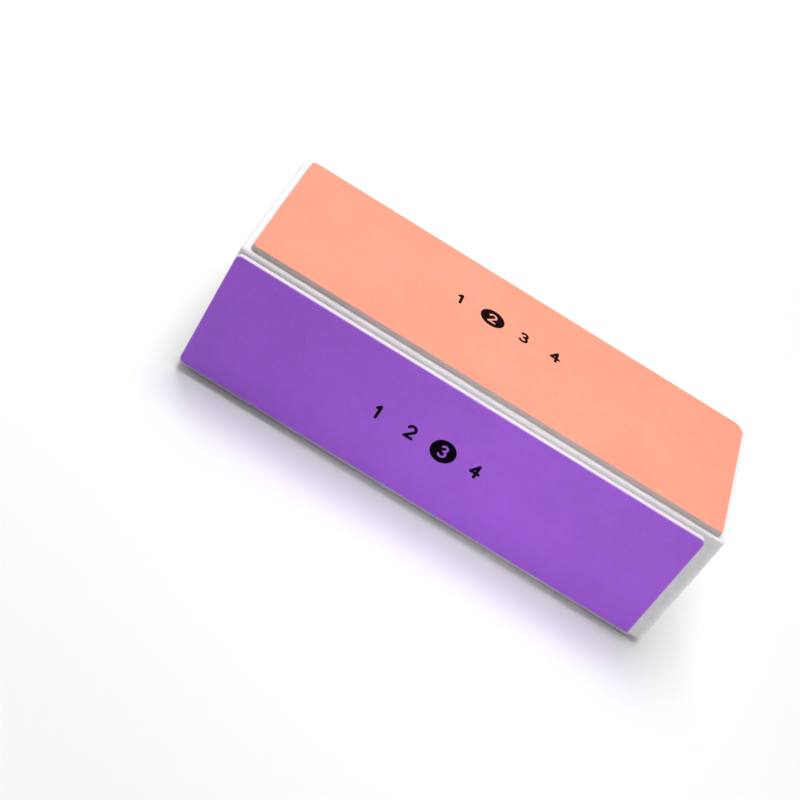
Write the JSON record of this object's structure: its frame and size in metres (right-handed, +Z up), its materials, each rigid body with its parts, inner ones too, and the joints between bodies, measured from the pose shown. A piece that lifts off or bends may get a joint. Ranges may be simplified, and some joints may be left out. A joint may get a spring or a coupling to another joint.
{
  "type": "nail buffer block",
  "caption": "Nail buffer block: a rectangular foam core with a foam-backed coloured abrasive sheet bonded to each long side, for filing, smoothing and shining nails.",
  "frame": {"origin": "middle of the resting face, which is the grey side; the block lies flat with its coral side up", "axes": "+X along the block, the way the number rows read; +Y out of the teal side; +Z up, out of the coral side"},
  "size_m": [0.0958, 0.0382, 0.0295],
  "materials": {
    "core_foam": "closed-cell foam, fine matte grain",
    "backing_foam": "white foam sheet, matte",
    "adhesive": "clear double-sided film",
    "black_ink": "screen print, satin",
    "coral_abrasive": "fine-grit coated sheet, satin matte",
    "purple_abrasive": "fine-grit coated sheet, satin matte",
    "grey_abrasive": "fine-grit coated sheet, satin matte",
    "teal_abrasive": "fine-grit coated sheet, satin matte"
  },
  "bodies": {
    "root": {"foam_core": "core_foam", "coral_adhesive_film": "adhesive", "coral_foam_backing": "backing_foam", "coral_abrasive_sheet": "coral_abrasive", "coral_step_numbers": "black_ink", "purple_adhesive_film": "adhesive", "purple_foam_backing": "backing_foam", "purple_abrasive_sheet": "purple_abrasive", "purple_step_numbers": "black_ink", "grey_adhesive_film": "adhesive", "grey_foam_backing": "backing_foam", "grey_abrasive_sheet": "grey_abrasive", "grey_step_numbers": "black_ink", "teal_adhesive_film": "adhesive", "teal_foam_backing": "backing_foam", "teal_abrasive_sheet": "teal_abrasive", "teal_step_numbers": "black_ink"}
  },
  "joints": []
}
